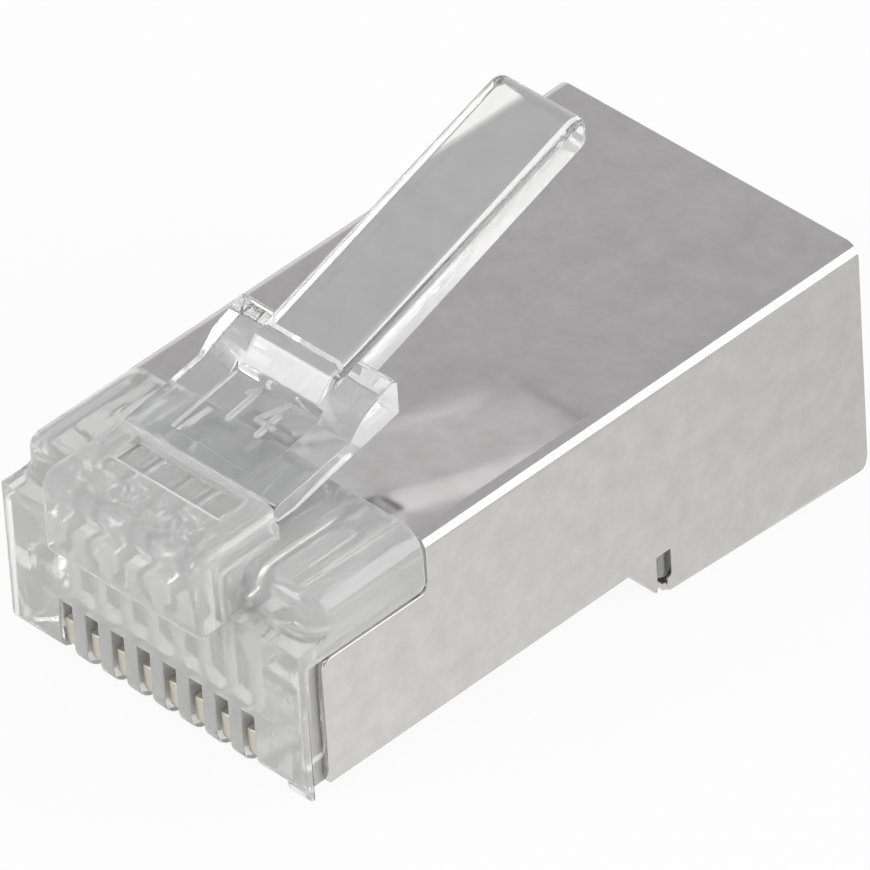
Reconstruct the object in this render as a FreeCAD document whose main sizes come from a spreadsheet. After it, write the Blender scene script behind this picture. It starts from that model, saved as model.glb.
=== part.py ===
import FreeCAD, Part
import os
import Sketcher

# Shielded 8-contact modular plug (8P8C), millimetres.
# Frame: origin on the centre line, at the lower front edge of the nose.
# +X across the plug, +Y from the nose to the cable end, +Z up, with the latch on top and the
# contacts underneath.

os.makedirs("parts", exist_ok=True)
doc = FreeCAD.newDocument("modular_plug")

# ---------------------------------------------------------------- driving sizes
SIZES = [
    # overall
    ("plug_width", 11.68),        # outside of the shield
    ("plug_length", 22.05),       # nose plane to the shield's rear edge
    ("nose_height", 6.6),         # ribs to the top of the nose
    ("overcut", 1.0),             # cuts start this far outside the solid
    ("join", 0.1),                # joined forms run this far into each other
    # shield sheet
    ("sheet", 0.25),              # thickness of the plated brass sheet
    ("sheet_gap", 0.04),          # running clearance between sheet and moulding
    ("bend_radius", 0.45),        # outside radius of the two long folds on top
    ("shield_front", 4.95),       # front edge of the top sheet
    ("shield_top", 6.33),         # outside of the top sheet
    ("side_low", 0.3),            # lower edge of the side walls
    ("tongue_front", 0.83),       # front edge of the two side tongues
    ("tongue_top", 4.55),         # upper edge of the tongues
    ("tongue_round", 0.4),        # rounding of the tongue's front corner
    ("notch_round", 0.3),         # rounding where the tongue meets the side
    ("plate_front", 9.1),         # front edge of the shield's bottom plate
    ("step_front", 13.6),         # wall where the bottom steps down for the cable
    ("step_low", -1.3),           # lower face just behind the step
    ("rear_low", -1.8),           # lower face at the rear edge
    ("step_bend", 0.5),           # outside radius at the foot of the step wall
    ("step_round", 0.35),         # rounding of the rear part's upright and lower corners
    ("rear_corner", 0.65),        # rounding of the side walls' lower rear corners
    ("seam_front", 0.11),         # open seam round each step corner, behind the step wall
    ("seam_width", 0.47),         # along the plug
    ("seam_depth", 0.3),          # the seam takes this much of the corner, from the side
    ("floor_seam", 0.2),          # gap between the step wall and the rear floor
    ("crimp_window_front", 9.9),  # window in the bottom plate for the cable anchor
    ("crimp_window_length", 3.0),
    ("crimp_window_width", 7.2),
    # moulded housing
    ("nose_inset", 0.04),         # nose side behind the shield's outer face
    ("ledge_depth", 0.7),         # step at the top of the nose's front
    ("ledge_height", 5.2),
    ("ledge_hollow", 0.25),       # concave rounding at the foot of that step
    ("nose_round", 0.5),          # convex rounding above the step
    ("nose_side_round", 0.85),    # roundings along the nose's top
    ("rib_round", 0.6),           # rounding of the ribs' lower front edge
    ("rear_setback", 0.9),        # the moulding ends this far inside the shield
    ("wall", 0.65),               # wall round the cable space
    ("cavity_front", 9.0),        # front end of the cable space
    ("throat_length", 1.6),       # taper from the wire channels to the cable space
    ("block_low", 0.2),           # lower face of the side blocks beside the ribs
    ("block_round", 0.42),
    ("lug_front", 0.05),          # small lug under the right front corner
    ("lug_length", 0.4),
    ("lug_width", 0.85),
    ("lug_round", 0.25),
    ("tongue_relief", 0.55),      # gap in front of each tongue
    # contacts and their slots
    ("pitch", 1.02),
    ("contact_count", 8),
    ("slot_width", 0.5),
    ("slot_length", 4.3),
    ("slot_height", 5.1),
    ("window_top", 2.05),         # the slots open through the front up to here
    ("front_web", 1.2),           # wall in front of the slots above their windows
    ("blade_thickness", 0.35),
    ("blade_front", 0.12),
    ("blade_low", 0.3),
    ("blade_length", 3.5),
    ("blade_shoulder", 1.4),      # top of the blade's front foot
    ("blade_setback", 1.15),      # blade above its foot stands this far back
    ("blade_body", 3.1),          # top of the blade below its two tips
    ("blade_round", 0.4),
    ("tip_width", 0.9),
    ("tip_reach", 0.35),          # tips reach this far above the middle of their wire
    # wire channels, two staggered rows
    ("channel_bore", 1.1),
    ("channel_front", 1.3),
    ("row_low", 4.0),
    ("row_high", 4.95),
    # strain relief for the wires, in the floor of the nose
    ("bar_front", 5.2),
    ("bar_width", 8.4),
    ("bar_pocket", 2.4),          # length of the pocket round the bar
    ("bar_depth", 1.3),
    ("bar_thickness", 1.0),
    ("bar_hinge", 0.3),           # thickness of the web that carries the bar
    # latch and its root
    ("latch_width", 5.9),
    ("root_width", 6.2),          # block on top of the nose that carries the latch
    ("root_front", -1.05),        # lip of the root, ahead of the nose plane
    ("root_low", 4.85),
    ("root_rear", 2.15),
    ("root_round", 0.7),
    ("lip_round", 0.3),
    ("lip_corner", 0.35),
    ("recess_front", 0.85),
    ("recess_rear", 1.9),
    ("recess_width", 4.2),
    ("recess_depth", 0.3),
    ("hinge_along", 2.35),        # middle of the thin bending section
    ("hinge_level", 7.36),
    ("hinge_bead", 0.58),         # thickness of the bending section
    ("hinge_clearance", 0.03),
    ("arm_flat", 2.9),            # the arm's underside is level up to here
    ("arm_rise", 5.05),           # the arm's upper face bends up here towards the shoulders
    ("arm_rise_level", 8.11),
    ("arm_recess", 0.15),         # depth of the field sunk into the arm in front of the tail
    ("arm_recess_front", 2.75),
    ("shoulder_along", 7.0),      # locking faces of the two shoulders
    ("shoulder_low", 8.0),
    ("shoulder_face", 9.1),       # top of the locking faces
    ("shoulder_top", 9.2),
    ("shoulder_chamfer", 0.22),
    ("ramp_along", 5.65),         # the shoulders' sloping top starts here
    ("ramp_level", 8.7),
    ("tail_foot", 5.35),          # foot of the ramp up to the tail
    ("tail_foot_level", 8.42),
    ("ridge_along", 5.92),        # the tail's upper face starts here
    ("ridge_level", 9.11),
    ("tail_width", 3.3),
    ("tail_low", 8.5),            # the tail's underside where it leaves the shoulders
    ("tail_start", 7.58),
    ("tail_end", 16.0),
    ("tail_end_low", 11.5),
    ("tail_end_top", 12.55),
    ("tail_round", 0.3),          # rounding of the tail's and its ramp's upper edges
    ("tail_tip_round", 0.45),     # rounding of the tail's upper rear edge
]

sheet = doc.addObject("Spreadsheet::Sheet", "dims")
for row, (alias, value) in enumerate(SIZES, start=1):
    sheet.set(f"A{row}", alias)
    sheet.set(f"B{row}", str(value))
    sheet.setAlias(f"B{row}", alias)
doc.recompute()


def size(alias):
    """Value of one cell, for choosing edges by their place."""
    return float(getattr(sheet, alias))


# ---------------------------------------------------------------- expressions used by several pieces
HALF_WIDTH = "dims.plug_width / 2"
SHEET_IN = "(dims.sheet + dims.sheet_gap)"
PLATE_IN = f"dims.side_low + {SHEET_IN}"
ROOF_IN = f"dims.shield_top - {SHEET_IN}"
FIRST_CONTACT = "-(dims.contact_count - 1) / 2 * dims.pitch"
BEAD_RADIUS = "dims.hinge_bead / 2"
FLOOR_SLOPE = "((dims.rear_low - dims.step_low) / (dims.plug_length - dims.step_front))"


def floor_at(along):
    """Height of the sloping rear floor's outer face at a distance from the nose."""
    return f"dims.step_low + {FLOOR_SLOPE} * ({along} - dims.step_front)"


# ---------------------------------------------------------------- small construction helpers
def new_body(label):
    body = doc.addObject("PartDesign::Body", label)
    body.Label = label
    return body


def origin_plane(body, role):
    return next(f for f in body.Origin.OriginFeatures if f.Role == role)


def new_sketch(body, name, role, offset=None):
    """Sketch on one of the body's own planes, moved along the plane's normal by an expression."""
    sketch = body.newObject("Sketcher::SketchObject", name)
    sketch.AttachmentSupport = [(origin_plane(body, role), "")]
    sketch.MapMode = "FlatFace"
    if offset:
        sketch.setExpression(".AttachmentOffset.Base.z", offset)
    return sketch


def bind(sketch, kind, *args, expression):
    """Constraint whose value is an expression of the sheet."""
    index = sketch.addConstraint(Sketcher.Constraint(kind, *args, 1.0))
    sketch.setExpression(f"Constraints[{index}]", expression)


def evaluate(expression):
    return float(sheet.evalExpression(expression.replace("dims.", "")))


def add_outline(sketch, corners):
    """Closed outline of straight sides; each corner is a pair of expressions."""
    places = [FreeCAD.Vector(evaluate(u), evaluate(v), 0) for u, v in corners]
    first = sketch.GeometryCount
    count = len(corners)
    for i in range(count):
        sketch.addGeometry(Part.LineSegment(places[i], places[(i + 1) % count]), False)
    for i in range(count):
        sketch.addConstraint(Sketcher.Constraint("Coincident", first + i, 2, first + (i + 1) % count, 1))
    for i, (u, v) in enumerate(corners):
        bind(sketch, "DistanceX", -1, 1, first + i, 1, expression=u)
        bind(sketch, "DistanceY", -1, 1, first + i, 1, expression=v)


def add_circle(sketch, u, v, radius):
    centre = FreeCAD.Vector(evaluate(u), evaluate(v), 0)
    index = sketch.addGeometry(Part.Circle(centre, FreeCAD.Vector(0, 0, 1), evaluate(radius)), False)
    bind(sketch, "Radius", index, expression=radius)
    bind(sketch, "DistanceX", -1, 1, index, 3, expression=u)
    bind(sketch, "DistanceY", -1, 1, index, 3, expression=v)


def extrude(body, kind, sketch, length, symmetric=True):
    """Pad or pocket of a sketch; a pocket has to take material away."""
    before = body.Shape.Volume if kind == "Pocket" else 0.0
    feature = body.newObject(f"PartDesign::{kind}", f"{sketch.Name}_{kind.lower()}")
    feature.Profile = sketch
    if symmetric:
        feature.SideType = "Symmetric"
    feature.setExpression("Length", length)
    doc.recompute()
    if kind == "Pocket" and not feature.Shape.Volume < before - 1e-6:
        raise RuntimeError(f"{feature.Name} cuts nothing")
    return feature


def side_pad(body, name, corners, width):
    sketch = new_sketch(body, name, "YZ_Plane")
    add_outline(sketch, corners)
    return extrude(body, "Pad", sketch, width)


def side_pocket(body, name, corners, width, offset=None):
    sketch = new_sketch(body, name, "YZ_Plane", offset)
    add_outline(sketch, corners)
    return extrude(body, "Pocket", sketch, width)


def box(u0, v0, u1, v1):
    """Corners of an upright rectangle between two corner expressions."""
    return [(u0, v0), (u1, v0), (u1, v1), (u0, v1)]


def along_x(body, feature, spacing, count, name):
    """Repeat a feature along X."""
    pattern = body.newObject("PartDesign::LinearPattern", name)
    pattern.Originals = [feature]
    axis = next(f for f in body.Origin.OriginFeatures if f.Role == "X_Axis")
    pattern.Direction = (axis, [""])
    pattern.setExpression("Length", f"({count} - 1) * ({spacing})")
    pattern.setExpression("Occurrences", count)
    body.Tip = pattern
    doc.recompute()
    return pattern


def round_edges(body, name, radius, chosen):
    """Fillet the edges that the test picks out."""
    base = body.Tip
    names = [f"Edge{i}" for i, edge in enumerate(base.Shape.Edges, start=1) if chosen(edge)]
    if not names:
        raise RuntimeError(f"{name} finds no edge")
    fillet = body.newObject("PartDesign::Fillet", name)
    fillet.Base = (base, names)
    fillet.setExpression("Radius", f"dims.{radius}")
    doc.recompute()
    return fillet


def runs_along(edge, axis):
    """True for a straight edge parallel to one axis."""
    ends = [vertex.Point for vertex in edge.Vertexes]
    if len(ends) != 2:
        return False
    span = ends[1] - ends[0]
    straight = abs(span.Length - edge.Length) < 1e-6
    return straight and abs(abs(getattr(span, axis)) - span.Length) < 1e-6


def near(edge, tolerance=1e-4, **place):
    """True where the edge's middle has the given coordinates."""
    middle = edge.CenterOfMass
    return all(abs(getattr(middle, axis) - value) < tolerance for axis, value in place.items())


def at_side(edge, half):
    """True where the edge lies on a side wall, left or right."""
    return abs(abs(edge.CenterOfMass.x) - half) < 1e-4


# ---------------------------------------------------------------- shield: one folded sheet
def make_shield():
    body = new_body("shield")
    side_pad(body, "shield_outline", [
        ("dims.tongue_front", "dims.side_low"),
        ("dims.step_front", "dims.side_low"),
        ("dims.step_front", "dims.step_low"),
        ("dims.plug_length", "dims.rear_low"),
        ("dims.plug_length", "dims.shield_top"),
        ("dims.shield_front", "dims.shield_top"),
        ("dims.shield_front", "dims.tongue_top"),
        ("dims.tongue_front", "dims.tongue_top"),
    ], "dims.plug_width")
    round_edges(body, "top_folds", "bend_radius",
                lambda e: runs_along(e, "y") and near(e, z=size("shield_top")))
    round_edges(body, "tongue_corners", "tongue_round",
                lambda e: runs_along(e, "x") and near(e, y=size("tongue_front"), z=size("tongue_top")))
    round_edges(body, "notch_corners", "notch_round",
                lambda e: runs_along(e, "x") and near(e, y=size("shield_front"), z=size("tongue_top")))
    round_edges(body, "step_foot", "step_bend",
                lambda e: runs_along(e, "x") and near(e, y=size("step_front"), z=size("step_low")))
    outer_half = size("plug_width") / 2
    round_edges(body, "rear_corners_and_folds", "step_round",
                lambda e: at_side(e, outer_half) and e.CenterOfMass.y > size("step_front") - 1e-4
                and e.CenterOfMass.z < size("side_low") and not near(e, y=size("plug_length")))
    open_end = "dims.plug_length + dims.overcut"
    inside = new_sketch(body, "shield_inside", "YZ_Plane")
    add_outline(inside, [
        ("dims.tongue_front - dims.overcut", "dims.rear_low - dims.overcut"),
        ("dims.plate_front", "dims.rear_low - dims.overcut"),
        ("dims.plate_front", "dims.side_low + dims.sheet"),
        ("dims.step_front + dims.sheet", "dims.side_low + dims.sheet"),
        ("dims.step_front + dims.sheet", floor_at("dims.step_front + dims.sheet") + " + dims.sheet"),
        (open_end, floor_at(open_end) + " + dims.sheet"),
        (open_end, "dims.shield_top - dims.sheet"),
        ("dims.tongue_front - dims.overcut", "dims.shield_top - dims.sheet"),
    ])
    extrude(body, "Pocket", inside, "dims.plug_width - 2 * dims.sheet")
    inner_half = size("plug_width") / 2 - size("sheet")
    inner_roof = size("shield_top") - size("sheet")
    round_edges(body, "inner_folds", "bend_radius - dims.sheet",
                lambda e: runs_along(e, "y") and near(e, z=inner_roof) and at_side(e, inner_half))
    # open seams round the step corners and between the step wall and the rear floor
    seam = box("dims.step_front + dims.seam_front", "dims.rear_low",
               "dims.step_front + dims.seam_front + dims.seam_width", "dims.side_low")
    for side, sign in (("left", "-"), ("right", "")):
        side_pocket(body, f"{side}_seam", seam, "2 * dims.seam_depth", f"{sign}{HALF_WIDTH}")
    side_pocket(body, "floor_seam_cut", box(
        f"dims.step_front + {SHEET_IN}", "dims.rear_low",
        f"dims.step_front + {SHEET_IN} + dims.floor_seam", f"dims.step_low + {SHEET_IN}"), "dims.plug_width")
    # lower rear corners, rounded by short facets
    corner_along = "dims.plug_length - dims.rear_corner"
    corner_level = "dims.rear_low + dims.rear_corner"
    side_pocket(body, "rear_corner_cut", [
        (corner_along, "dims.rear_low"),
        (f"{corner_along} + dims.rear_corner * sin(30 deg)",
         f"{corner_level} - dims.rear_corner * cos(30 deg)"),
        (f"{corner_along} + dims.rear_corner * cos(30 deg)",
         f"{corner_level} - dims.rear_corner * sin(30 deg)"),
        ("dims.plug_length", corner_level),
        (open_end, corner_level),
        (open_end, "dims.rear_low - dims.overcut"),
        (corner_along, "dims.rear_low - dims.overcut"),
    ], "dims.plug_width * 2")
    # window under the cable anchor
    window = new_sketch(body, "crimp_window", "XY_Plane", "dims.side_low + dims.sheet / 2")
    add_outline(window, box(
        "-dims.crimp_window_width / 2", "dims.crimp_window_front",
        "dims.crimp_window_width / 2", "dims.crimp_window_front + dims.crimp_window_length"))
    extrude(body, "Pocket", window, "dims.sheet * 2")
    return body


# ---------------------------------------------------------------- housing: one clear moulding
def make_housing():
    body = new_body("housing")
    nose_width = "dims.plug_width - 2 * dims.nose_inset"
    inner_width = f"dims.plug_width - 2 * {SHEET_IN}"
    half_nose = size("plug_width") / 2 - size("nose_inset")
    nose_rear = "dims.shield_front - dims.sheet_gap"

    # nose, with the step at the top of its front
    side_pad(body, "nose", [
        ("0", "0"),
        (nose_rear, "0"),
        (nose_rear, "dims.nose_height"),
        ("dims.ledge_depth", "dims.nose_height"),
        ("dims.ledge_depth", "dims.ledge_height"),
        ("0", "dims.ledge_height"),
    ], nose_width)
    round_edges(body, "nose_brow", "nose_round",
                lambda e: runs_along(e, "x") and near(e, y=size("ledge_depth"), z=size("nose_height")))
    round_edges(body, "nose_top", "nose_side_round",
                lambda e: runs_along(e, "y") and near(e, z=size("nose_height")) and at_side(e, half_nose))
    round_edges(body, "ledge_foot", "ledge_hollow",
                lambda e: runs_along(e, "x") and near(e, y=size("ledge_depth"), z=size("ledge_height")))

    # root of the latch: a bull-nosed block that overhangs the nose
    root = new_sketch(body, "latch_root", "YZ_Plane")
    add_outline(root, box("dims.root_front", "dims.root_low", "dims.root_rear",
                          f"dims.hinge_level + {BEAD_RADIUS}"))
    extrude(body, "Pad", root, "dims.root_width")
    root_top = size("hinge_level") + size("hinge_bead") / 2
    half_root = size("root_width") / 2
    round_edges(body, "lip_top", "root_round",
                lambda e: runs_along(e, "x") and near(e, y=size("root_front"), z=root_top))
    round_edges(body, "lip_corners", "lip_corner",
                lambda e: runs_along(e, "z") and near(e, y=size("root_front")) and at_side(e, half_root))
    round_edges(body, "lip_low", "lip_round",
                lambda e: runs_along(e, "x") and near(e, y=size("root_front"), z=size("root_low")))

    # part of the moulding inside the shield
    housing_rear = "dims.plug_length - dims.rear_setback"
    side_pad(body, "core", [
        ("dims.slot_length", "0"),
        ("dims.plate_front - dims.sheet_gap", "0"),
        ("dims.plate_front - dims.sheet_gap", PLATE_IN),
        (f"dims.step_front + {SHEET_IN}", PLATE_IN),
        (f"dims.step_front + {SHEET_IN}", f"{floor_at('dims.step_front + ' + SHEET_IN)} + {SHEET_IN}"),
        (housing_rear, f"{floor_at(housing_rear)} + {SHEET_IN}"),
        (housing_rear, ROOF_IN),
        ("dims.slot_length", ROOF_IN),
    ], inner_width)
    inner_half = size("plug_width") / 2 - size("sheet") - size("sheet_gap")
    roof = size("shield_top") - size("sheet") - size("sheet_gap")
    round_edges(body, "core_top", "bend_radius - dims.sheet - dims.sheet_gap",
                lambda e: runs_along(e, "y") and near(e, z=roof) and at_side(e, inner_half))
    step_in = size("step_front") + size("sheet") + size("sheet_gap")
    round_edges(body, "core_step", "step_round",
                lambda e: runs_along(e, "z") and near(e, y=step_in) and at_side(e, inner_half))
    core_middle = (step_in + size("plug_length") - size("rear_setback")) / 2
    round_edges(body, "core_floor", "step_round",
                lambda e: near(e, size("wall"), y=core_middle,
                               z=(size("step_low") + size("rear_low")) / 2) and at_side(e, inner_half))

    # side blocks stand back from the ribs' level, with a small lug under the right front corner
    half_contacts = "((dims.contact_count - 1) / 2 * dims.pitch + dims.slot_width / 2)"
    for side, sign in (("left", "-"), ("right", "")):
        low = new_sketch(body, f"{side}_block_low", "XY_Plane")
        add_outline(low, box(f"{sign}{half_contacts}", "-dims.overcut",
                             f"{sign}dims.plug_width", "dims.slot_length"))
        extrude(body, "Pocket", low, "2 * dims.block_low")
    round_edges(body, "block_fronts", "block_round",
                lambda e: runs_along(e, "x") and near(e, y=0, z=size("block_low")))
    round_edges(body, "rib_front", "rib_round", lambda e: runs_along(e, "x") and near(e, y=0, z=0))
    lug = new_sketch(body, "corner_lug", "YZ_Plane", f"{HALF_WIDTH} - dims.nose_inset - dims.lug_width / 2")
    add_outline(lug, box("dims.lug_front", "0", "dims.lug_front + dims.lug_length",
                         "dims.block_low + dims.block_round"))
    extrude(body, "Pad", lug, "dims.lug_width")
    round_edges(body, "lug_edges", "lug_round",
                lambda e: runs_along(e, "x") and near(e, y=size("lug_front"), z=0))

    # shallow reliefs that take the shield's tongues flush
    for side, sign in (("left", "-"), ("right", "")):
        relief = new_sketch(body, f"{side}_tongue_relief", "XY_Plane")
        outer = f"{sign}dims.plug_width"
        inner = f"{sign}({HALF_WIDTH} - {SHEET_IN})"
        add_outline(relief, box(outer, "dims.tongue_front - dims.tongue_relief", inner, "dims.plug_length"))
        cut = extrude(body, "Pocket", relief, "2 * (dims.tongue_top + dims.sheet_gap)")
        cut.Label = f"{side}_tongue_relief_pocket"
    notch_rear = size("shield_front") - size("sheet_gap")
    notch_low = size("tongue_top") + size("sheet_gap")
    round_edges(body, "notch_clearance", "notch_round",
                lambda e: runs_along(e, "x") and near(e, y=notch_rear, z=notch_low))

    # contact slots, open below and, through low windows, in front
    slot = side_pocket(body, "contact_slot", [
        ("-dims.overcut", "-dims.overcut"),
        ("dims.slot_length", "-dims.overcut"),
        ("dims.slot_length", "dims.slot_height"),
        ("dims.front_web", "dims.slot_height"),
        ("dims.front_web", "dims.window_top"),
        ("-dims.overcut", "dims.window_top"),
    ], "dims.slot_width", FIRST_CONTACT)
    along_x(body, slot, "dims.pitch", "dims.contact_count", "contact_slots")

    # wire channels in two staggered rows
    for row, start in (("row_high", "0"), ("row_low", "dims.pitch")):
        bore = new_sketch(body, f"{row}_bore", "XZ_Plane", "-dims.channel_front")
        add_circle(bore, f"{FIRST_CONTACT} + {start}", f"dims.{row}", "dims.channel_bore / 2")
        cut = extrude(body, "Pocket", bore, "dims.cavity_front - dims.channel_front + dims.join",
                      symmetric=False)
        along_x(body, cut, "2 * dims.pitch", "dims.contact_count / 2", f"{row}_bores")

    # cable space, with a throat that gathers the wires
    cavity_roof = f"{ROOF_IN} - dims.wall"
    cavity_floor = f"{PLATE_IN} + dims.wall"
    side_pocket(body, "cable_space", [
        ("dims.cavity_front + dims.throat_length", cavity_floor),
        (f"dims.step_front + {SHEET_IN} + dims.wall", cavity_floor),
        (f"dims.step_front + {SHEET_IN} + 3 * dims.wall",
         f"{floor_at('dims.step_front + ' + SHEET_IN + ' + 3 * dims.wall')} + {SHEET_IN} + dims.wall"),
        ("dims.plug_length", f"{floor_at('dims.plug_length')} + {SHEET_IN} + dims.wall"),
        ("dims.plug_length", cavity_roof),
        ("dims.cavity_front + dims.throat_length", cavity_roof),
        ("dims.cavity_front", "dims.row_high + dims.channel_bore / 2"),
        ("dims.cavity_front", "dims.row_low - dims.channel_bore / 2"),
    ], f"dims.plug_width - 2 * {SHEET_IN} - 2 * dims.wall")

    # strain relief for the wires: a bar on a thin web in a pocket of the nose's floor
    web = "dims.bar_front + dims.bar_pocket - dims.bar_hinge"
    side_pocket(body, "bar_pocket", [
        ("dims.bar_front", "-dims.overcut"),
        ("dims.bar_front + dims.bar_pocket", "-dims.overcut"),
        ("dims.bar_front + dims.bar_pocket", "dims.bar_depth + dims.bar_hinge"),
        (f"{web} - dims.bar_hinge", "dims.bar_depth + dims.bar_hinge"),
        (f"{web} - dims.bar_hinge", "dims.bar_depth"),
        ("dims.bar_front", "dims.bar_depth"),
    ], "dims.bar_width")
    side_pad(body, "relief_bar", [
        ("dims.bar_front + dims.bar_hinge", "dims.bar_hinge"),
        ("dims.bar_front + dims.bar_hinge + dims.bar_thickness", "dims.bar_hinge"),
        ("dims.bar_front + dims.bar_pocket + dims.join", "dims.bar_hinge"),
        ("dims.bar_front + dims.bar_pocket + dims.join", "2 * dims.bar_hinge"),
        ("dims.bar_front + dims.bar_hinge + dims.bar_thickness", "2 * dims.bar_hinge"),
        ("dims.bar_front + dims.bar_hinge + dims.bar_thickness", "dims.bar_depth - dims.bar_hinge"),
    ], "dims.bar_width - 2 * dims.bar_hinge")

    # top recess of the root, and the seat of the bending section
    recess = new_sketch(body, "root_recess", "XY_Plane", f"dims.hinge_level + {BEAD_RADIUS}")
    add_outline(recess, box("-dims.recess_width / 2", "dims.recess_front",
                            "dims.recess_width / 2", "dims.recess_rear"))
    extrude(body, "Pocket", recess, "2 * dims.recess_depth")
    seat = new_sketch(body, "hinge_seat", "YZ_Plane")
    add_circle(seat, "dims.hinge_along", "dims.hinge_level", f"{BEAD_RADIUS} + dims.hinge_clearance")
    extrude(body, "Pocket", seat, "dims.latch_width * 2")
    return body


# ---------------------------------------------------------------- latch: springy arm of the moulding
def make_latch():
    body = new_body("latch_tab")
    # tail first, so that its rounded edges run out under the shoulders
    side_pad(body, "tail", [
        ("dims.tail_foot", "dims.tail_foot_level - dims.hinge_bead"),
        ("dims.tail_start", "dims.tail_low"),
        ("dims.tail_end", "dims.tail_end_low"),
        ("dims.tail_end", "dims.tail_end_top"),
        ("dims.ridge_along", "dims.ridge_level"),
        ("dims.tail_foot", "dims.tail_foot_level"),
    ], "dims.tail_width")
    round_edges(body, "tail_tip", "tail_tip_round",
                lambda e: runs_along(e, "x") and near(e, y=size("tail_end"), z=size("tail_end_top")))
    half_tail = size("tail_width") / 2
    ramp_middle = (size("tail_foot") + size("ridge_along")) / 2
    ridge_middle = (size("ridge_along") + size("tail_end")) / 2
    ridge_middle_level = (size("ridge_level") + size("tail_end_top")) / 2
    round_edges(body, "tail_edges", "tail_round",
                lambda e: at_side(e, half_tail) and (
                    near(e, size("tail_round"), y=ramp_middle) or
                    near(e, size("tail_tip_round"), y=ridge_middle, z=ridge_middle_level)))

    side_pad(body, "shoulder_plate", [
        ("dims.hinge_along", f"dims.hinge_level - {BEAD_RADIUS}"),
        ("dims.arm_flat", f"dims.hinge_level - {BEAD_RADIUS}"),
        ("dims.shoulder_along", "dims.shoulder_low"),
        ("dims.shoulder_along", "dims.shoulder_face"),
        ("dims.shoulder_along - dims.shoulder_chamfer", "dims.shoulder_top"),
        ("dims.ramp_along", "dims.ramp_level"),
        ("dims.arm_rise", "dims.arm_rise_level"),
        ("dims.hinge_along", f"dims.hinge_level + {BEAD_RADIUS}"),
    ], "dims.latch_width")
    # the field for the moulded number, sunk parallel to the arm's upper face
    arm_slope = (f"((dims.arm_rise_level - dims.hinge_level - {BEAD_RADIUS})"
                 " / (dims.arm_rise - dims.hinge_along))")
    field_floor = f"dims.arm_rise_level - dims.arm_recess + {arm_slope} * "
    side_pocket(body, "number_field", [
        ("dims.arm_recess_front", field_floor + "(dims.arm_recess_front - dims.arm_rise)"),
        ("dims.tail_foot", field_floor + "(dims.tail_foot - dims.arm_rise)"),
        ("dims.tail_foot", "dims.shoulder_top"),
        ("dims.arm_recess_front", "dims.shoulder_top"),
    ], "dims.tail_width")
    bead = new_sketch(body, "hinge_bead_end", "YZ_Plane")
    add_circle(bead, "dims.hinge_along", "dims.hinge_level", BEAD_RADIUS)
    extrude(body, "Pad", bead, "dims.latch_width")
    return body


# ---------------------------------------------------------------- contacts: stamped, gold-plated blades
def make_contact(number):
    body = new_body(f"contact_{number}")
    row = "row_high" if number % 2 else "row_low"
    rear = "dims.blade_front + dims.blade_length"
    front = "dims.blade_front + dims.blade_setback"
    tip = f"dims.{row} + dims.tip_reach"
    side_pad(body, f"blade_{number}", [
        ("dims.blade_front", "dims.blade_low"),
        (rear, "dims.blade_low"),
        (rear, "dims.blade_body"),
        (f"{rear} - dims.tip_width / 2", tip),
        (f"{rear} - dims.tip_width", "dims.blade_body"),
        (f"{front} + dims.tip_width", "dims.blade_body"),
        (f"{front} + dims.tip_width / 2", tip),
        (front, "dims.blade_body"),
        (front, "dims.blade_shoulder"),
        ("dims.blade_front", "dims.blade_shoulder"),
    ], "dims.blade_thickness")
    round_edges(body, f"blade_round_{number}", "blade_round",
                lambda e: runs_along(e, "x") and near(e, y=size("blade_front"), z=size("blade_low")))
    body.setExpression(".Placement.Base.x", f"{FIRST_CONTACT} + {number - 1} * dims.pitch")
    doc.recompute()
    return body


pieces = [make_shield(), make_housing(), make_latch()]
pieces += [make_contact(number) for number in range(1, int(size("contact_count")) + 1)]
doc.recompute()

for obj in doc.Objects:
    if "Invalid" in obj.State or "Error" in obj.State:
        raise RuntimeError(f"{obj.Name} is {obj.State}")
for piece in pieces:
    if piece.Shape.isNull() or not piece.Shape.isValid() or len(piece.Shape.Solids) != 1:
        raise RuntimeError(f"{piece.Label} has no sound solid")
for piece in pieces:
    piece.Shape.exportStep(f"parts/{piece.Label}.step")
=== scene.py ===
import math

import bmesh
import bpy
import numpy as np
from mathutils import Matrix, Vector


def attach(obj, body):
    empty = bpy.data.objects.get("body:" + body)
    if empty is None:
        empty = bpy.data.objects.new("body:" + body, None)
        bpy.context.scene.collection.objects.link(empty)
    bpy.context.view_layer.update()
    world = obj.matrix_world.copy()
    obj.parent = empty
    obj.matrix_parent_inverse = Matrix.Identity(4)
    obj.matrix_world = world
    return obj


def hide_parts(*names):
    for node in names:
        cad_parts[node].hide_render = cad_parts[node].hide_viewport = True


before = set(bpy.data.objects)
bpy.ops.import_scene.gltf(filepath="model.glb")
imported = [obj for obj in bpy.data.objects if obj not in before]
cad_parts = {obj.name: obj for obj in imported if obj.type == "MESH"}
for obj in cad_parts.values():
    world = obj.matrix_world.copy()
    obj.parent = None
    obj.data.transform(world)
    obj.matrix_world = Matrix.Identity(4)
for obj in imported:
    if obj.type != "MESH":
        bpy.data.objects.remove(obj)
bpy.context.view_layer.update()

MM = 0.001


# ---------------------------------------------------------------- camera
# A long lens from above the nose's right side: it shows the top, the nose and the right side,
# with hardly any perspective.
TARGET = Vector((0.693, 10.339, 3.971)) * MM
DISTANCE = 416.85 * MM
AZIMUTH = math.radians(47.183)
ELEVATION = math.radians(38.906)
ROLL = math.radians(-3.839)
LENS = 623.88                                            # mm
SENSOR = 36.0                                            # mm

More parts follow.
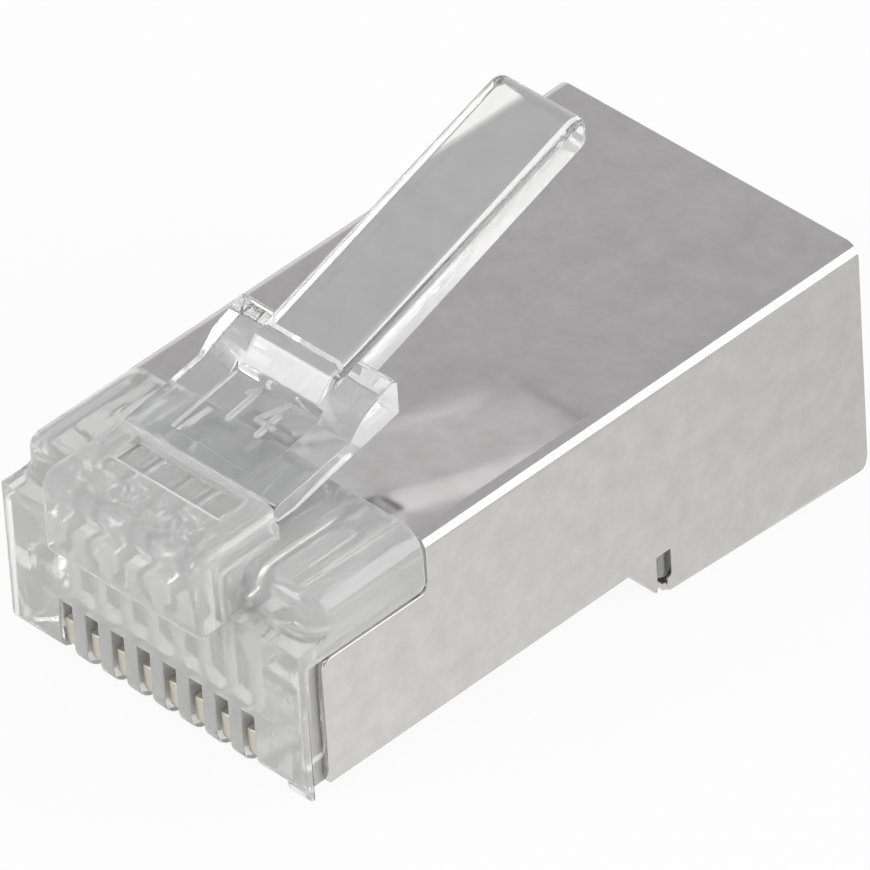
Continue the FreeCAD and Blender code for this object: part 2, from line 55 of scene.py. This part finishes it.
to_camera = Vector((
    math.sin(AZIMUTH) * math.cos(ELEVATION),
    -math.cos(AZIMUTH) * math.cos(ELEVATION),
    math.sin(ELEVATION),
))
aim = to_camera.to_track_quat("Z", "Y").to_matrix() @ Matrix.Rotation(ROLL, 3, "Z")
camera = bpy.data.objects.new("camera", bpy.data.cameras.new("camera"))
camera.data.sensor_width = SENSOR
camera.data.lens = LENS
camera.data.clip_start = 0.01                            # m
camera.data.clip_end = 10.0                              # m
camera.rotation_euler = aim.to_euler()
camera.location = TARGET + to_camera * DISTANCE
bpy.context.scene.collection.objects.link(camera)
bpy.context.scene.camera = camera


# ---------------------------------------------------------------- studio
# White paper under the plug and a white surround that is dimmer overhead, one large soft panel
# behind on the right and a small soft lamp in front on the left.
FLOOR_REACH = 2.0                                        # m
FLOOR_DROP = math.tan(math.radians(5.5))                 # it rests on its nose and its step's foot
FLOOR_FRONT = 0.3 * MM                                   # the paper is level with the ribs here
FLOOR_GAP = 0.02 * MM
FLOOR_LIFT = 0.92                                        # share of plain white in the paper
PAINTED_MIRROR_SHADE = 0.8                                         # painted shade: the paper, seen in metal, dims towards the cable end
PAINTED_SHADE_FROM, PAINTED_SHADE_TO = 4 * MM, 26 * MM                     # along the plug
SURROUND_HORIZON = 1.0
SURROUND_OVERHEAD = 0.58
HORIZON_HEIGHT, OVERHEAD_HEIGHT = 0.25, 0.62             # sine of the angle above the horizon
SURROUND_THROUGH = 0.4                                   # share of white behind clear plastic
REAR_PLACE, REAR_WIDTH, REAR_POWER = (0.40, 0.265, 0.125), 0.5, 1.7          # m, m, W
FRONT_PLACE, FRONT_WIDTH, FRONT_POWER = (-0.12, -0.34, 0.24), 0.22, 0.58     # m, m, W
WALL_CROSSINGS = 24                                      # clear plastic has many walls to cross
PAPER = "#EDEDED"
PAPER_MIRRORED = "#FFFFF9"                               # nickel gives the paper a warm trace
WHITE = (1, 1, 1, 1)


def linear(hex_colour):
    """sRGB hex value as linear RGBA: below 0.04045 a straight line, above it a 2.4 power."""
    channels = [int(hex_colour[i:i + 2], 16) / 255 for i in (1, 3, 5)]
    curve = [c / 12.92 if c <= 0.04045 else ((c + 0.055) / 1.055) ** 2.4 for c in channels]
    return (*curve, 1.0)


def add_node(tree, kind, inputs=None, **settings):
    """Shader node with its settings; each input takes a value or another node's output socket."""
    node = tree.nodes.new(kind)
    for name, value in settings.items():
        setattr(node, name, value)
    for key, value in (inputs or {}).items():
        if isinstance(value, bpy.types.NodeSocket):
            tree.links.new(value, node.inputs[key])
        else:
            node.inputs[key].default_value = value
    return node


def new_material(name):
    """Material with an empty node tree, and that tree."""
    material = bpy.data.materials.new(name)
    material.use_nodes = True
    material.node_tree.nodes.clear()
    return material, material.node_tree


floor_mesh = bpy.data.meshes.new("floor")
corners = np.array([(-1, -1), (1, -1), (1, 1), (-1, 1)]) * FLOOR_REACH
floor_mesh.from_pydata(
    [(x, y, -FLOOR_DROP * (y - FLOOR_FRONT) - FLOOR_GAP) for x, y in corners], [], [(0, 1, 2, 3)])
floor = bpy.data.objects.new("floor", floor_mesh)
bpy.context.scene.collection.objects.link(floor)

# matt white paper: plain white to the eye, white with a painted shade in metal; it takes the plug's
# shadow
paper, tree = new_material("white_paper")
matt = add_node(tree, "ShaderNodeBsdfDiffuse", {"Color": linear(PAPER)})
path = add_node(tree, "ShaderNodeLightPath")
place = add_node(tree, "ShaderNodeTexCoord")
along = add_node(tree, "ShaderNodeSeparateXYZ", {0: place.outputs["Object"]})
# painted shade on the paper as the metal mirrors it, darker towards the cable end; camera rays and
# clear plastic see it unshaded
painted_shade = add_node(tree, "ShaderNodeMapRange", {
    "Value": along.outputs["Y"], "From Min": PAINTED_SHADE_FROM, "From Max": PAINTED_SHADE_TO,
    "To Min": 1.0, "To Max": PAINTED_MIRROR_SHADE})
unfaded = add_node(tree, "ShaderNodeMath", {
    0: path.outputs["Is Camera Ray"], 1: path.outputs["Is Transmission Ray"]}, operation="MAXIMUM")
strength = add_node(tree, "ShaderNodeMath", {
    0: unfaded.outputs[0], 1: painted_shade.outputs[0]}, operation="MAXIMUM")
tint = add_node(tree, "ShaderNodeMix", {
    "Factor": path.outputs["Is Glossy Ray"], 6: WHITE, 7: linear(PAPER_MIRRORED)},
    data_type="RGBA")
glow = add_node(tree, "ShaderNodeEmission", {
    "Color": tint.outputs[2], "Strength": strength.outputs[0]})
mirrored = add_node(tree, "ShaderNodeMath", {
    0: path.outputs["Is Glossy Ray"], 1: path.outputs["Is Transmission Ray"]}, operation="MAXIMUM")
seen = add_node(tree, "ShaderNodeMath", {
    0: path.outputs["Is Camera Ray"], 1: mirrored.outputs[0]}, operation="MAXIMUM")
lift = add_node(tree, "ShaderNodeMath", {
    0: seen.outputs[0], 1: FLOOR_LIFT}, operation="MULTIPLY")
surface = add_node(tree, "ShaderNodeMixShader", {
    "Fac": lift.outputs[0], 1: matt.outputs[0], 2: glow.outputs[0]})
add_node(tree, "ShaderNodeOutputMaterial", {"Surface": surface.outputs[0]})
floor_mesh.materials.append(paper)

world = bpy.data.worlds.new("studio")
bpy.context.scene.world = world
world.use_nodes = True
tree = world.node_tree
tree.nodes.clear()
direction = add_node(tree, "ShaderNodeTexCoord")
height = add_node(tree, "ShaderNodeSeparateXYZ", {0: direction.outputs["Generated"]})
level = add_node(tree, "ShaderNodeMapRange", {
    "Value": height.outputs["Z"], "From Min": HORIZON_HEIGHT, "From Max": OVERHEAD_HEIGHT,
    "To Min": SURROUND_HORIZON, "To Max": SURROUND_OVERHEAD})
path = add_node(tree, "ShaderNodeLightPath")
around = add_node(tree, "ShaderNodeBackground", {"Color": WHITE, "Strength": level.outputs[0]})
white = add_node(tree, "ShaderNodeBackground", {"Color": WHITE, "Strength": 1.0})
through = add_node(tree, "ShaderNodeMath", {
    0: path.outputs["Is Transmission Ray"], 1: SURROUND_THROUGH}, operation="MULTIPLY")
seen = add_node(tree, "ShaderNodeMath", {
    0: path.outputs["Is Camera Ray"], 1: through.outputs[0]}, operation="MAXIMUM")
background = add_node(tree, "ShaderNodeMixShader", {
    "Fac": seen.outputs[0], 1: around.outputs[0], 2: white.outputs[0]})
add_node(tree, "ShaderNodeOutputWorld", {"Surface": background.outputs[0]})


def soft_lamp(name, place, width, power):
    """Square area lamp aimed at the plug."""
    lamp = bpy.data.lights.new(name, "AREA")
    lamp.size = width
    lamp.energy = power
    holder = bpy.data.objects.new(name, lamp)
    holder.location = Vector(place)
    holder.rotation_euler = (TARGET - holder.location).to_track_quat("-Z", "Y").to_euler()
    bpy.context.scene.collection.objects.link(holder)


soft_lamp("rear_panel", REAR_PLACE, REAR_WIDTH, REAR_POWER)
soft_lamp("front_lamp", FRONT_PLACE, FRONT_WIDTH, FRONT_POWER)
bpy.context.scene.view_settings.view_transform = "Standard"
bpy.context.scene.cycles.max_bounces = WALL_CROSSINGS
bpy.context.scene.cycles.transmission_bounces = WALL_CROSSINGS


# ---------------------------------------------------------------- shield
# One brass sheet, stamped and folded round the moulding, then nickel-plated. The folds are
# rounded, the seams at the step's corners stand open and the cut edges are slightly broken.
SHEET_EDGE = 0.03 * MM                                   # rounding of the cut edges
SHARP = math.radians(28)                                 # edges that turn more than this are sharp
FLAT = math.radians(0.2)                                 # facets that turn less are joined
SAME_POINT = 1e-7                                        # m
ROUNDING_STEPS = 2
BY_LARGEST_FACE = 100                                    # shading that keeps flat faces flat
NICKEL_DARK, NICKEL_LIGHT = "#CAC8C8", "#D5D2D4"
CLOUD_SIZE = 5 / 6 * MM                                  # across one cloud in the plating


def finished(node, body, material, edge_round):
    """Copy of a CAD node, its facets joined, its outer edges rounded, its curves shaded smooth.

    Inner corners stay sharp.
    """
    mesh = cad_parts[node].data.copy()
    mesh.name = node + "_finish"
    work = bmesh.new()
    work.from_mesh(mesh)
    bmesh.ops.remove_doubles(work, verts=work.verts, dist=SAME_POINT)
    bmesh.ops.dissolve_limit(work, angle_limit=FLAT, verts=work.verts, edges=work.edges)
    rounded = work.edges.layers.float.new("bevel_weight_edge")
    for edge in work.edges:
        turn = edge.calc_face_angle_signed(0.0)
        edge[rounded] = float(turn > SHARP)
        edge.smooth = turn > -SHARP
    work.to_mesh(mesh)
    work.free()
    mesh.polygons.foreach_set("use_smooth", np.ones(len(mesh.polygons), bool))
    mesh.materials.clear()
    mesh.materials.append(material)
    piece = bpy.data.objects.new(node + "_finish", mesh)
    bpy.context.scene.collection.objects.link(piece)
    rounding = piece.modifiers.new("edge_rounding", "BEVEL")
    rounding.width = edge_round
    rounding.segments = ROUNDING_STEPS
    rounding.limit_method = "WEIGHT"
    rounding.use_clamp_overlap = False
    rounding.miter_outer = "MITER_ARC"
    weighting = piece.modifiers.new("flat_face_normals", "WEIGHTED_NORMAL")
    weighting.weight = BY_LARGEST_FACE
    weighting.keep_sharp = True
    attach(piece, body)
    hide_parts(node)
    return piece


# satin nickel plating on rolled sheet: a slightly soft mirror with faint, slightly warm clouds
nickel, tree = new_material("nickel_plated_brass")
place = add_node(tree, "ShaderNodeTexCoord")
cloud = add_node(tree, "ShaderNodeTexNoise", {
    "Vector": place.outputs["Object"], "Scale": 1 / CLOUD_SIZE, "Detail": 4.0, "Roughness": 0.6})
spread = add_node(tree, "ShaderNodeMapRange", {
    "Value": cloud.outputs["Fac"], "From Min": 0.3, "From Max": 0.7, "To Min": 0.0, "To Max": 1.0})
tone = add_node(tree, "ShaderNodeMix", {
    "Factor": spread.outputs[0], 6: linear(NICKEL_DARK), 7: linear(NICKEL_LIGHT)},
    data_type="RGBA")
metal = add_node(tree, "ShaderNodeBsdfPrincipled", {
    "Base Color": tone.outputs[2], "Metallic": 1.0, "Roughness": 0.12})
add_node(tree, "ShaderNodeOutputMaterial", {"Surface": metal.outputs[0]})
finished("shield", "plug", nickel, SHEET_EDGE)


# ---------------------------------------------------------------- housing
# The plug's body, one injection moulding in clear polycarbonate that holds the wires, the contacts
# and the root of the latch.
MOULDED_EDGE = 0.05 * MM                                 # rounding that the mould leaves
HAZY = "#FEFEFE"
HAZY_CLEARNESS = 0.66                                    # share of the light that isn't scattered
POLYCARBONATE_IOR = 1.585
FLOW_MARK_SIZE = 10 / 11 * MM                            # across one flow mark
FLOW_MARK_DEPTH = 0.05 * MM

# polycarbonate with a milky haze: it shows grey-white, with soft glints where flow marks ripple it
hazy, tree = new_material("hazy_moulded_polycarbonate")
place = add_node(tree, "ShaderNodeTexCoord")
flow = add_node(tree, "ShaderNodeTexNoise", {
    "Vector": place.outputs["Object"], "Scale": 1 / FLOW_MARK_SIZE, "Detail": 2.0,
    "Roughness": 0.5})
ripple = add_node(tree, "ShaderNodeBump", {
    "Height": flow.outputs["Fac"], "Strength": 0.35, "Distance": FLOW_MARK_DEPTH})
plastic = add_node(tree, "ShaderNodeBsdfPrincipled", {
    "Base Color": linear(HAZY), "Roughness": 0.04, "IOR": POLYCARBONATE_IOR,
    "Transmission Weight": HAZY_CLEARNESS, "Normal": ripple.outputs[0]})
add_node(tree, "ShaderNodeOutputMaterial", {"Surface": plastic.outputs[0]})
finished("housing", "plug", hazy, MOULDED_EDGE)


# ---------------------------------------------------------------- latch
# The springy arm with its two shoulders and its long finger tail, moulded with the housing in the
# same polycarbonate. Its side faces, the ramp up to the tail and the wall under the ramp come matt
# from the mould.
CLEAR = "#FAFBFB"
CLEARNESS = 0.94                                         # share of the light that isn't scattered
SIDEWAYS = 0.95                                          # a side face's normal across the plug
FORWARDS = -0.3                                          # the ramp's normal along the plug
RAMP_ALONG, RAMP_HALF_DEPTH = 5.6 * MM, 0.3 * MM
RAMP_HALF_WIDTH = 1.7 * MM

# clear polycarbonate from a polished mould: the plating shows through it, a little softened
polycarbonate, tree = new_material("clear_moulded_polycarbonate")
plastic = add_node(tree, "ShaderNodeBsdfPrincipled", {
    "Base Color": linear(CLEAR), "Roughness": 0.05, "IOR": POLYCARBONATE_IOR,
    "Transmission Weight": CLEARNESS})
add_node(tree, "ShaderNodeOutputMaterial", {"Surface": plastic.outputs[0]})
latch = finished("latch_tab", "latch", polycarbonate, MOULDED_EDGE)
latch.data.materials.append(hazy)
middles, normals = np.empty((2, 3 * len(latch.data.polygons)))
latch.data.polygons.foreach_get("center", middles)
latch.data.polygons.foreach_get("normal", normals)
middles, normals = middles.reshape(-1, 3), normals.reshape(-1, 3)
sides = np.abs(normals[:, 0]) > SIDEWAYS
ramp = ((np.abs(middles[:, 1] - RAMP_ALONG) < RAMP_HALF_DEPTH)
        & (np.abs(middles[:, 0]) < RAMP_HALF_WIDTH) & (normals[:, 1] < FORWARDS))
latch.data.polygons.foreach_set("material_index", (sides | ramp).astype(np.int32))


# ---------------------------------------------------------------- cavity number
# The mould cavity's number, raised in the shallow field on the latch's arm: rounded strokes that
# stand proud of the field, in the same plastic as the arm.
DIGIT_HALF = 0.7 * MM                                    # half the height of a digit
STROKE_RADIUS = 0.12 * MM
TIP_FLAT = 15                                            # degrees about the axis left flat at a tip
FIELD_MIDDLE = Vector((-0.15, 4.55, 7.875)) * MM         # on the field's floor, between the digits
FIELD_SLOPE = 0.1704                                     # rise over run along the plug
# start and end of each stroke, across and along the plug, in halves of a digit's height
STROKES = [
    ((-0.95, 0.55), (-0.65, 0.9)), ((-0.65, 0.9), (-0.65, -0.9)),
    ((0.85, 0.9), (0.35, -0.3)), ((0.35, -0.3), (1.2, -0.3)), ((0.95, 0.3), (0.95, -0.9)),
]


def stroke(start, end, radius, rings=7, sides=16):
    """Closed rounded bar between two points of the field, half sunk in its floor.

    P(a, v) = start + d (L [a > 90 deg] - r cos a) + r sin a (cos v s + sin v n), with d along the
    bar, L its length, s across it, n the field's normal, a from 15 to 165 deg and v round the bar.
    """
    a = np.concatenate([np.linspace(TIP_FLAT, 90, rings), np.linspace(90, 180 - TIP_FLAT, rings)])
    a = np.radians(a)[:, None]
    far = np.repeat([0.0, 1.0], rings)[:, None]
    v = np.linspace(0, 2 * math.pi, sides, endpoint=False)[None, :]
    along = end - start
    length = np.hypot(*along)
    along = along / length
    reach = far * length - radius * np.cos(a)
    across = radius * np.sin(a) * np.cos(v)
    flat_u = start[0] + along[0] * reach - along[1] * across
    flat_v = start[1] + along[1] * reach + along[0] * across
    rise = radius * np.sin(a) * np.sin(v)
    points = np.stack([flat_u, flat_v, rise], axis=2).reshape(-1, 3)
    ring, side = np.meshgrid(np.arange(2 * rings - 1), np.arange(sides), indexing="ij")
    after = (side + 1) % sides
    quads = np.stack([ring * sides + after, (ring + 1) * sides + after,
                      (ring + 1) * sides + side, ring * sides + side], axis=2).reshape(-1, 4)
    last = (2 * rings - 1) * sides
    caps = [list(range(sides - 1, -1, -1)), list(range(last, last + sides))]
    return points, quads.tolist() + caps


points, faces = [], []
for start, end in np.array(STROKES) * DIGIT_HALF:
    shape, shell = stroke(start, end, STROKE_RADIUS)
    first = sum(len(p) for p in points)
    faces += [[first + i for i in face] for face in shell]
    points.append(shape)
points = np.concatenate(points)
number_mesh = bpy.data.meshes.new("cavity_number")
number_mesh.from_pydata(points.tolist(), [], faces)
number_mesh.transform(
    Matrix.Translation(FIELD_MIDDLE) @ Matrix.Rotation(math.atan(FIELD_SLOPE), 4, "X"))
number_mesh.polygons.foreach_set("use_smooth", np.ones(len(number_mesh.polygons), bool))
number_mesh.materials.append(hazy)
cavity_number = bpy.data.objects.new("cavity_number", number_mesh)
bpy.context.scene.collection.objects.link(cavity_number)
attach(cavity_number, "latch")


# ---------------------------------------------------------------- contacts
# Eight flat blades stamped from phosphor bronze, gold over nickel, pressed up into the slots of
# the nose. They stand slightly proud until the plug is crimped.
CONTACTS = 8
BLADE_EDGE = 0.03 * MM                                   # rounding of the stamped edges
THIN_GOLD = "#C8C3BA"

# a flash of gold over nickel: a pale, slightly warm satin metal
gold, tree = new_material("gold_plated_bronze")
plate = add_node(tree, "ShaderNodeBsdfPrincipled", {
    "Base Color": linear(THIN_GOLD), "Metallic": 1.0, "Roughness": 0.35})
add_node(tree, "ShaderNodeOutputMaterial", {"Surface": plate.outputs[0]})
for number in range(1, CONTACTS + 1):
    finished(f"contact_{number}", "plug", gold, BLADE_EDGE)
